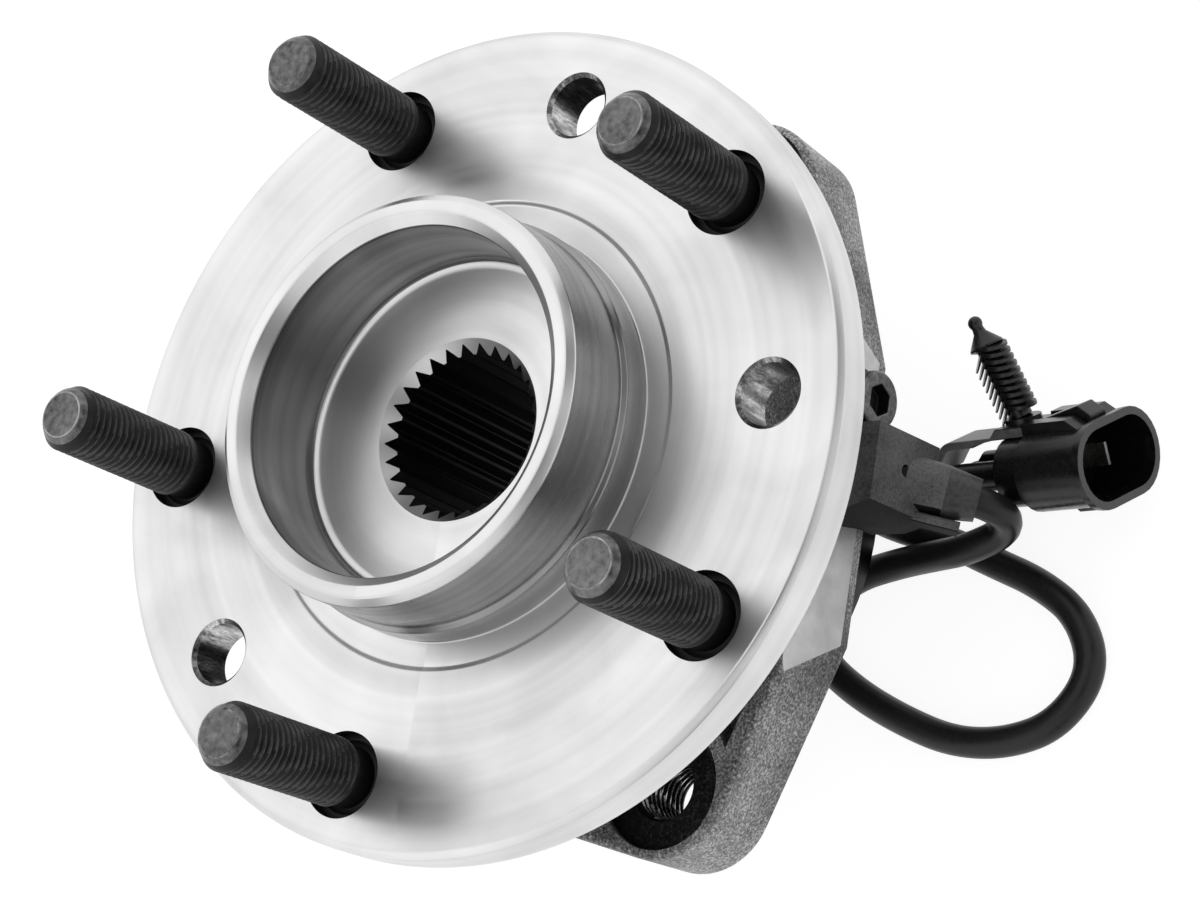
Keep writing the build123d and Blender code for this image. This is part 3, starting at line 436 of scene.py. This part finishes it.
# EPDM jacket of the lead, extruded smooth and slightly waxy
jacket = moulded("extruded_epdm_jacket", "#232324", "#161617", 0.38, 0.9, 0.006, 0.0, 0.35)
# Glass-filled nylon of the sensor, dull from the mould with a faint grain of fibres
sensor_nylon = moulded("glass_filled_nylon", "#6c6c6d", "#2e2e2f", 0.48, 0.45, 0.05, 0.0, 0.4)
# Matt black on the side of the sensor that faces the flange: a painted shade
flange_shade_nylon = moulded("sensor_side_painted_shade", "#0d0d0d", "#070707", 0.6, 0.5, 0.01, 0.0, 0.1)
# Unfilled nylon of the plug, glossy from a polished mould
plug_nylon = moulded("polished_mould_nylon", "#151516", "#0c0c0d", 0.22, 1.6, 0.004, 0.0, 0.4)
# The same nylon on the plug's rim, dull where it is handled, and on the clip holder's arm, pale: a painted
# highlight
rim_nylon = moulded("dulled_nylon", "#4c4c4d", "#363637", 0.46, 0.8, 0.01, 0.0, 0.4)
painted_highlight_nylon = moulded("holder_arm_painted_highlight", "#7e7e7f", "#5a5a5b", 0.40, 1.2, 0.01, 0.0, 0.5)
# Nylon of the fir-tree clip, satin and slightly waxy
clip_nylon = moulded("satin_nylon", "#1e1e1f", "#111112", 0.30, 1.0, 0.006, 0.0, 0.45)
# Natural nylon of the ball cages
cage_nylon = moulded("natural_nylon", "#b9a888", "#9c8b6c", 0.45, 0.6, 0.01)
# Turned brass of the screw's bushing
brass = turned("turned_brass", "#d3ad62", "#b08a45", 0.28, 0.3, 0.4)
# Tin-plated copper alloy of the contacts
tin_plate = moulded("tin_plated_copper", "#cfcec9", "#a9a8a4", 0.30, 0.4, 0.004, 1.0)
# Silicone of the wire seals
silicone = moulded("moulded_silicone", "#3a2622", "#2a1b18", 0.48, 0.8, 0.006)

node_finishes = {
    "wheel_hub": turned_steel, "inboard_inner_ring": ground_steel, "tone_ring": phosphated_steel,
    "slinger": drawn_sheet, "bearing_housing": cast_iron, "outboard_balls": ground_steel,
    "inboard_balls": ground_steel, "outboard_cage": cage_nylon, "inboard_cage": cage_nylon,
    "outboard_seal_case": drawn_sheet, "outboard_seal_lips": nitrile, "inboard_seal_case": drawn_sheet,
    "inboard_seal_lips": nitrile, "sensor_body": sensor_nylon, "sensor_probe": sensor_nylon,
    "sensor_o_ring": nitrile, "sensor_bushing": brass, "sensor_screw": phosphated_steel,
    "sensor_boot": nitrile, "sensor_lead": jacket, "lead_core_1": jacket, "lead_core_2": jacket,
    "wire_seal_1": silicone, "wire_seal_2": silicone, "plug_body": plug_nylon,
    "contact_blade_1": tin_plate, "contact_blade_2": tin_plate, "clip_holder": clip_nylon,
    "fir_tree_clip": clip_nylon,
}
for number in range(1, 6):
    node_finishes[f"wheel_stud_{number}"] = phosphated_steel
for name, finish in node_finishes.items():
    nodes[name].data.materials.clear()
    nodes[name].data.materials.append(finish)


# ---- Camera and the lead ---------------------------------------------------------------------------

camera_data = bpy.data.cameras.new("camera")
camera_data.sensor_width = 36
camera_data.lens = 98.21
camera_data.shift_x = 0.0262
camera_data.shift_y = -0.0229
camera_data.clip_start = 0.01
camera = bpy.data.objects.new("camera", camera_data)
bpy.context.collection.objects.link(camera)
right = Vector((0.155, -0.826, -0.542)).normalized()
back = Vector((-0.239, -0.564, 0.790)).normalized()
up = back.cross(right).normalized()
right = up.cross(back)
camera.matrix_world = (
    Matrix.Translation(Vector((-127.77, -323.61, 423.03)) * MM)
    @ Matrix((right, up, back)).transposed().to_4x4()
)
bpy.context.scene.camera = camera

# The lead leaves the boot, doubles back under the sensor, lies in one loop and ends in the plug
lead_route = [
    (2.50, -67.71, -46.54), (1.59, -75.12, -51.00), (-0.30, -73.10, -59.20), (-3.50, -64.90, -60.50),
    (-3.80, -56.40, -64.30), (-4.30, -47.40, -68.20), (-6.80, -38.20, -69.20), (-13.40, -31.90, -69.20),
    (-21.60, -34.20, -69.20), (-27.20, -42.00, -69.20), (-31.80, -51.90, -69.20), (-35.20, -62.40, -69.20),
    (-34.90, -72.50, -69.20), (-31.20, -81.50, -69.20), (-22.00, -87.00, -69.20), (-12.60, -83.20, -69.20),
    (-7.00, -75.00, -69.20), (-3.40, -65.50, -69.20), (0.10, -57.00, -69.20), (2.00, -48.00, -69.20),
    (4.80, -40.00, -69.20), (11.40, -36.60, -69.20), (16.90, -40.60, -68.60), (15.40, -47.80, -67.00),
    (11.20, -54.50, -65.40),
]
lead_curve = bpy.data.curves.new("lead", "CURVE")
lead_curve.dimensions = "3D"
lead_curve.bevel_depth = 2.75 * MM
lead_curve.bevel_resolution = 6
lead_curve.use_fill_caps = True
lead_curve.resolution_u = 12
route = lead_curve.splines.new("NURBS")
route.points.add(len(lead_route) - 1)
for point, spot in zip(route.points, lead_route):
    point.co = (*(c * MM for c in spot), 1)
route.order_u = 3
route.use_endpoint_u = True
lead_curve.materials.append(jacket)
lead = bpy.data.objects.new("lead", lead_curve)
bpy.context.collection.objects.link(lead)
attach(lead, "housing")
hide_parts("sensor_lead")


# ---- Hub ------------------------------------------------------------------------------------------

RACE = 6.47
hub_outline = (
    [(26.7, -72.0), (13.8, -72.0), (13.8, 1.5)]
    + arc((28.1, 3.3), 1.8, 270, 360, 4)
    + [(29.9, 18.5), (31.9, 20.5), (33.8, 20.5), (35.1, 19.2), (35.1, 5.9), (36.0, 5.3), (36.0, -0.5)]
    + [(40.4, -0.5), (40.9, 0.0), (71.1, 0.0), (72.2, -1.1), (72.2, -7.4), (71.6, -8.0), (50.2, -9.2)]
    + [(43.0, -12.0)]
    + arc((35.0, -16.0), 4.0, 90, 180, 6)
    + arc((33.0, -26.0), RACE, 108, 198, 12)
    + [(26.85, -46.8), (24.0, -46.8), (24.0, -68.0), (27.5, -68.0), (27.5, -71.2)]
)
hub_bm = spun(hub_outline, 288)
soften(hub_bm, 0.28, 2, 24)
hub = piece("hub_forging", hub_bm, turned_steel, "hub", ["wheel_hub"])

# Spline spaces, the countersinks of the bore, the stud counterbores and the three access holes
tooth_pitch = 2 * pi * 15.3 / 28
mouth, root = 0.62 * tooth_pitch, 0.03 * tooth_pitch
space = [(12.6, -mouth), (15.3, -root), (15.3, root), (12.6, mouth)]
spaces = []
for i in range(28):
    one = drawn(space, 76.0)
    one.transform(Matrix.Rotation(radians(85.6 + i * 360 / 28), 4, "Z") @ Matrix.Translation((0, 0, -74 * MM)))
    spaces.append(one)
cutters = [joined(*spaces)]
cutters.append(spun([(0, 3.0), (17.5, 3.0), (13.5, -1.0), (0, -1.0)], 96))
cutters.append(spun([(0, -73.0), (17.5, -73.0), (17.5, -68.0), (13.5, -65.8), (0, -65.8)], 96))
for angle in STUD_ANGLES:
    recess = [(0, 2), (8.0, 2), (7.6, 0.3), (7.3, -0.1), (7.3, -2.4)]
    hole = spun(recess + [(6.28, -2.4), (6.28, -14), (0, -14)], 64)
    hole.transform(Matrix.Translation(polar(STUD_CIRCLE, angle)))
    cutters.append(hole)
for angle in ACCESS_ANGLES:
    hole = spun([(0, 2), (8.0, 2), (5.3, -0.7), (5.3, -8.4), (5.9, -9.4), (6.4, -14), (0, -14)], 64)
    hole.transform(Matrix.Translation(polar(ACCESS_CIRCLE, angle)))
    cutters.append(hole)
carve(hub, cutters)
stud_spots = [polar(STUD_CIRCLE, angle) / MM for angle in STUD_ANGLES]
access_spots = [polar(ACCESS_CIRCLE, angle) / MM for angle in ACCESS_ANGLES]


# Reach of a stud's counterbore, painted black as shade, and of an access hole's torn wall
COUNTERBORE = 7.42
ACCESS_WALL = 6.4


def hub_finish(spot, normal):
    """0 turned, 1 bored in painted shade, 2 painted black shade in the spline and counterbores, 3 drilled, 4
    pilot wall in painted shade.
    """
    radius = spot.xy.length
    # The spline's spaces and floor: painted black as shade
    if radius < 15.5 and spot.z < 1.4 and (radius < 14.4 or abs(normal.z) < 0.1):
        return 2
    # The bore wall: painted shade
    if 29.0 < radius < 30.2 and 2.0 < spot.z < 18.6:
        return 1
    # The pilot's outer wall: painted shade
    if 34.9 < radius < 36.1 and 0.0 < spot.z < 19.2:
        return 4
    if -13.5 < spot.z < -0.02 and normal.z > -0.5:
        # The stud counterbores: painted black as shade
        if nearest(spot, stud_spots) < COUNTERBORE:
            return 2
        if nearest(spot, access_spots) < ACCESS_WALL and spot.z > -9.0:
            return 3
    return 0


paint(hub, [shaded_bore_steel, painted_shade_steel, drilled_steel, shaded_pilot_steel], hub_finish)
crisp(hub)


# ---- Housing --------------------------------------------------------------------------------------

# Reach of an ear's spot face from its hole, painted black as shade
SPOT_FACE = 11.0
PAD_NORMAL = Vector((0, -cos(radians(9)), sin(radians(9))))
ear_spots = [polar(EAR_CIRCLE, angle) / MM for angle in EAR_ANGLES]


def cast_edge(edge):
    """Whether the mould left an edge round: it lies off the turned and milled surfaces."""
    for vert in edge.verts:
        spot = vert.co / MM
        if spot.xy.length < 47.6 or spot.z < -45.9 or spot.dot(PAD_NORMAL) > 44.95:
            return False
        if nearest(spot, ear_spots) < SPOT_FACE:
            return False
    return True


def housing_finish(spot, normal):
    """0 casting, 1 spot face and ear hole in painted black shade, 2 milled, 3 bored, 4 nose in painted shade.
    """
    radius = spot.xy.length
    # Spot faces under the wheel flange: painted shade
    if nearest(spot, ear_spots) < SPOT_FACE and abs(normal.z) > 0.9 and spot.z > -31.2:
        return 1
    if spot.dot(PAD_NORMAL) > 44.9 and normal.dot(PAD_NORMAL) > 0.9:
        return 2
    if normal.z < -0.9 and -47.0 < spot.z < -45.0:
        return 2
    if radius < 38.5 and not (abs(normal.z) > 0.9 and -47 < spot.z < -20):
        return 3
    # The nose: painted shade
    if spot.z < -46.5:
        return 4
    # Inside the ear holes: painted shade
    if nearest(spot, ear_spots) < 6.0:
        return 1
    return 0


housing_bm = soften(copied("bearing_housing"), 1.0, 3, 20, cast_edge)
housing = piece("housing_casting", housing_bm, cast_iron, "housing", ["bearing_housing"])
paint(housing, [painted_shade_iron, milled_iron, bored_iron, nose_iron_painted_shade], housing_finish)
crisp(housing)

# Threads of the three ears: a cut thread drawn as a thin sleeve in each hole
for number, spot in enumerate(ear_spots, 1):
    low, high, step = -45.9, -31.0, 0.21
    rows = [(6.1, high), (6.1, low)]
    rows += [(5.85, low + step * i) for i in range(int((high - low) / step) + 1)]
    bm = spun(rows, 40)
    for vert in bm.verts:
        x, y, z = vert.co / MM
        if sqrt(x * x + y * y) < 6.0:
            left = ridge(z, atan2(y, x), low, high, 0.8)
            vert.co.xy *= (5.85 - 0.75 * left * min(1, (high - z) / 1.2)) / 5.85
    bm.transform(Matrix.Translation(Vector((spot.x, spot.y, 0)) * MM))
    sleeve = piece(f"ear_thread_{number}", bm, ear_thread, "housing", (), 40)
    centre = spot.xy
    # Crests take the painted highlight, the roots keep the painted shade
    paint(sleeve, [painted_highlight_crest], lambda place, normal: 1 if (place.xy - centre).length < 5.24 else 0)


# ---- Sensor ---------------------------------------------------------------------------------------

for name, made, width, finish, slot_name in (
    ("sensor_body", "sensor_moulding", 0.45, sensor_nylon, "sensor_nylon"),
    ("sensor_screw", "sensor_cap_screw", 0.25, phosphated_steel, "phosphated_steel"),
):
    sensor_piece = piece(made, soften(copied(name), width, 3, 28), finish, "housing", [name])
    crisp(sensor_piece)
    if name == "sensor_body":
        # The side against the flange is painted black as the flange's shade
        inward = lambda spot, normal: 1 if normal.x < -0.8 and spot.xy.length > 50 else 0
        paint(sensor_piece, [flange_shade_nylon], inward)
    if name == "sensor_screw":
        # The head's end face, worn bright round the socket
        high = max(face.center.dot(PAD_NORMAL) for face in sensor_piece.data.polygons)
        outer = lambda spot, normal: 1 if spot.dot(PAD_NORMAL) * MM > high - 0.4 * MM else 0
        paint(sensor_piece, [worn_steel], outer)


# ---- Plug -----------------------------------------------------------------------------------------

LONG_AXIS = (0.5233, -0.1519, -0.8385)
PLUG_AXIS = (0.028, -0.980, 0.195)
plug_plane = axes((11.68, -92.85, -56.73), LONG_AXIS, PLUG_AXIS)
side_plane = plug_plane @ Matrix(((0, 0, -1, 0), (0, 1, 0, 0), (1, 0, 0, 0), (0, 0, 0, 1)))


shroud_bm = placed(slot(22.6, 13.6), -13.7, -0.2, plug_plane)
plug = piece("plug_moulding", shroud_bm, plug_nylon, "housing", ["plug_body"])
block = [(-2.6, 5.4), (-2.6, 6.8), (-4.8, 8.6), (-13.7, 8.6), (-13.7, 5.4)]
underside = [(-4.0, -6.0), (4.0, -6.0), (4.0, -7.2), (3.4, -7.8), (-3.4, -7.8), (-4.0, -7.2)]
additions = [
    placed(slot(24.0, 15.0), -1.4, 0.0, plug_plane),
    placed(slot(18.2, 12.0), -19.6, -13.0, plug_plane),
    placed(block, 2.75, 6.25, side_plane),
    placed(block, -6.25, -2.75, side_plane),
    placed(underside, -7.9, -1.0, plug_plane),
]
for across in (-4.5, 4.5):
    additions.append(placed(ring(2.6, (across, 0)), -30.5, -18.6, plug_plane))
for addition in additions:
    carve(plug, [addition], operation="UNION")
cuts = [placed(slot(21.2, 12.2), -12.0, 1.0, plug_plane)]
for across in (-4.5, 4.5):
    cuts.append(placed(ring(1.85, (across, 0)), -31.0, -24.0, plug_plane))
for cut in cuts:
    carve(plug, [cut])
edged(plug, 0.22)
crisp(plug)
into_plug = plug_plane.inverted()
paint(plug, [rim_nylon], lambda spot, normal: 1 if (into_plug @ (spot * MM)).z > -0.12 * MM else 0)
holder_bm = soften(copied("clip_holder"), 0.2, 2, 28)
holder = piece("clip_holder_moulding", holder_bm, clip_nylon, "housing", ["clip_holder"])
crisp(holder)
# The holder's arm: a painted highlight
paint(holder, [painted_highlight_nylon], lambda spot, normal: 1 if (into_plug @ (spot * MM)).z < -21.0 * MM else 0)


# ---- Fir-tree clip --------------------------------------------------------------------------------

TREE_LENGTH = 19.8
SHOULDER = 14.2
clip_axis = Vector(PLUG_AXIS).cross(Vector(LONG_AXIS)).normalized()
tree_axis = clip_axis * cos(radians(16.5)) - Vector(PLUG_AXIS).normalized() * sin(radians(16.5))
tree_foot = side_plane @ Vector((-17.4 * MM, 7.9 * MM, 0)) / MM
tree_plane = axes(tree_foot, LONG_AXIS, tree_axis)
tree_parts = [
    placed(ring(3.2, (0, 0), 40), 0.0, 1.0, axes(tree_foot, LONG_AXIS, clip_axis)),
    placed(ring(2.0, (0, 0), 24), 0.9, SHOULDER, tree_plane),
]
head = [(0, SHOULDER - 0.9), (1.3, SHOULDER - 0.9), (3.0, SHOULDER - 0.1), (3.0, SHOULDER + 0.25)]
head += [(1.15, SHOULDER + 2.6), (1.0, SHOULDER + 3.4)] + arc((0, TREE_LENGTH - 1.25), 1.25, -35, 90, 8)
head_bm = spun(head, 32)
head_bm.transform(tree_plane)
tree_parts.append(head_bm)
across_tree = Vector(LONG_AXIS).normalized() + Vector(PLUG_AXIS).normalized()
fin_plane = axes(tree_foot, across_tree, tree_axis)
for level in range(10):
    hinge = 2.0 + 1.24 * level
    # Thin blades hinged on the core: the side that has been pushed droops, the other stands out
    for side, reach, half, droop, thick, lift in ((-55, 1.9, 2.6, 20, 0.7, 0.9), (180, 4.7, 1.5, 48, 0.5, 1.4)):
        blade = [(0.5, -half), (reach, -half)] + arc((reach, 0), half, -90, 90, 8) + [(0.5, half)]
        blade_bm = drawn(blade, thick)
        for vert in blade_bm.verts:
            vert.co.x *= 0.84
            vert.co.z *= 1.3 - 150 * vert.co.x
        blade_bm.transform(
            fin_plane @ Matrix.Translation((0, 0, (hinge + lift) * MM))
            @ Matrix.Rotation(radians(side), 4, "Z") @ Matrix.Rotation(radians(droop), 4, "Y")
        )
        tree_parts.append(blade_bm)
piece("fir_tree", joined(*tree_parts), clip_nylon, "housing", ["fir_tree_clip"])


# ---- Wheel studs ----------------------------------------------------------------------------------

STUD_TOP = 32.4


def stud_mesh():
    """A pressed-in wheel stud: round head behind, a smooth neck and a rolled thread with a tapered tip."""
    rows = [(0, -13.4), (7.9, -13.4), (8.6, -12.6), (8.6, -9.2)]
    rows += [(6.28, -9.2), (6.28, -2.7), (5.3, -2.1), (5.3, 2.6)]
    thread = [(5.9, 2.9 + 0.21 * i) for i in range(int((30.2 - 2.9) / 0.21))]
    tip = [(5.9, 30.2), (5.1, 31.3), (4.5, 31.95), (4.15, 32.34), (3.85, STUD_TOP)]
    tip += [(3.45, 32.28), (2.0, 32.17), (0, 32.13)]
    bm = spun(rows + thread + tip, 40)
    for vert in bm.verts:
        x, y, z = vert.co / MM
        if not 2.5 < z < 31.4:
            continue
        radius = sqrt(x * x + y * y)
        left = ridge(z, atan2(y, x), 2.6, 31.6, 2.4)
        vert.co.xy *= (radius - 0.78 * (1 - left)) / radius
    return bm


for number, angle in enumerate(STUD_ANGLES, 1):
    bm = stud_mesh()
    bm.transform(Matrix.Translation(polar(STUD_CIRCLE, angle)) @ Matrix.Rotation(radians(57 * number), 4, "Z"))
    stands_for = [f"wheel_stud_{number}"]
    stud = piece(f"stud_{number}", bm, phosphated_steel, "hub", stands_for, 48)
    centre = polar(STUD_CIRCLE, angle) / MM

    def stud_finish(spot, normal):
        """0 coated, 1 rubbed end, 2 burnished crest with painted highlight, 3 painted glint on the end's lip.
        """
        radius = (spot.xy - centre.xy).length
        if spot.z > 31.5:
            # The end's lip: a painted glint ring
            return 3 if 3.9 < radius < 4.1 else 1
        # Thread crests: burnished, with a painted highlight
        return 2 if spot.z > 3.5 and radius > 5.66 else 0

    paint(stud, [rubbed_steel, burnished_highlight_steel, painted_glint_steel], stud_finish)


# ---- Light and floor ------------------------------------------------------------------------------

def seen_rays(tree):
    """1 for rays that see the backdrop: from the camera, in metal or through glass."""
    path = add(tree, "LightPath").outputs
    first = {0: path["Is Camera Ray"], 1: path["Is Glossy Ray"]}
    either = add(tree, "Math", first, operation="MAXIMUM").outputs[0]
    return add(tree, "Math", {0: either, 1: path["Is Transmission Ray"]}, operation="MAXIMUM").outputs[0]


world = bpy.data.worlds.new("studio")
bpy.context.scene.world = world
world.use_nodes = True
tree = world.node_tree
tree.nodes.clear()
ambient = add(tree, "Background", {"Color": colour("#ffffff"), "Strength": 0.60})
backdrop = add(tree, "Background", {"Color": colour("#ffffff"), "Strength": 1.0})
mixed = add(tree, "MixShader", {0: seen_rays(tree), 1: ambient.outputs[0], 2: backdrop.outputs[0]})
add(tree, "OutputWorld", {"Surface": mixed.outputs[0]})

floor_bm = bmesh.new()
bmesh.ops.create_grid(floor_bm, x_segments=1, y_segments=1, size=3.0)
bmesh.ops.translate(floor_bm, verts=floor_bm.verts, vec=(0, 0, -72.0 * MM))
paper, tree, place = blank("white_studio_paper")
share = add(tree, "Math", {0: seen_rays(tree), 1: 0.72}, operation="MULTIPLY").outputs[0]
matt = add(tree, "BsdfDiffuse", {"Color": colour("#f4f4f4")})
glow = add(tree, "Emission", {"Color": colour("#ffffff"), "Strength": 1.25})
mixed = add(tree, "MixShader", {0: share, 1: matt.outputs[0], 2: glow.outputs[0]})
add(tree, "OutputMaterial", {"Surface": mixed.outputs[0]})
floor_piece = piece("floor", floor_bm, paper, None)


def softbox(name, direction, distance, size, energy):
    """A square studio lamp that faces the part from a direction."""
    lamp_data = bpy.data.lights.new(name, "AREA")
    lamp_data.shape = "SQUARE"
    lamp_data.size = size
    lamp_data.energy = energy
    lamp = bpy.data.objects.new(name, lamp_data)
    bpy.context.collection.objects.link(lamp)
    toward = Vector(direction).normalized()
    lamp.matrix_world = axes(toward * distance / MM, (0, 1, 0.2), toward)


def dark_card(name, direction, distance, size):
    """A black card that only shows in reflections, as on a studio stand."""
    bm = bmesh.new()
    bmesh.ops.create_grid(bm, x_segments=1, y_segments=1, size=size / 2)
    toward = Vector(direction).normalized()
    bm.transform(axes(toward * distance / MM, (0, 0, 1), toward))
    card = piece(name, bm, black_card, None)
    card.visible_camera = False
    card.visible_diffuse = False
    card.visible_shadow = False
    card.visible_transmission = False


black_card, tree, place = blank("black_card")
surface(tree, {"Base Color": colour("#181818"), "Roughness": 0.9})
softbox("key", (0.45, 0.62, 0.64), 1.0, 1.3, 1.1)
softbox("side", (-0.8, 0.35, 0.45), 1.0, 1.1, 0.8)
softbox("front", (0.95, -0.25, 0.35), 1.0, 1.1, 0.7)
dark_card("card_by_camera", (-0.25, -0.62, 0.72), 0.75, 0.42)
dark_card("card_low", (-0.75, -0.55, 0.15), 0.7, 0.3)
dark_card("card_for_chamfer", (0.477, -0.70, 0.507), 0.75, 0.34)

bpy.context.scene.view_settings.view_transform = "Standard"
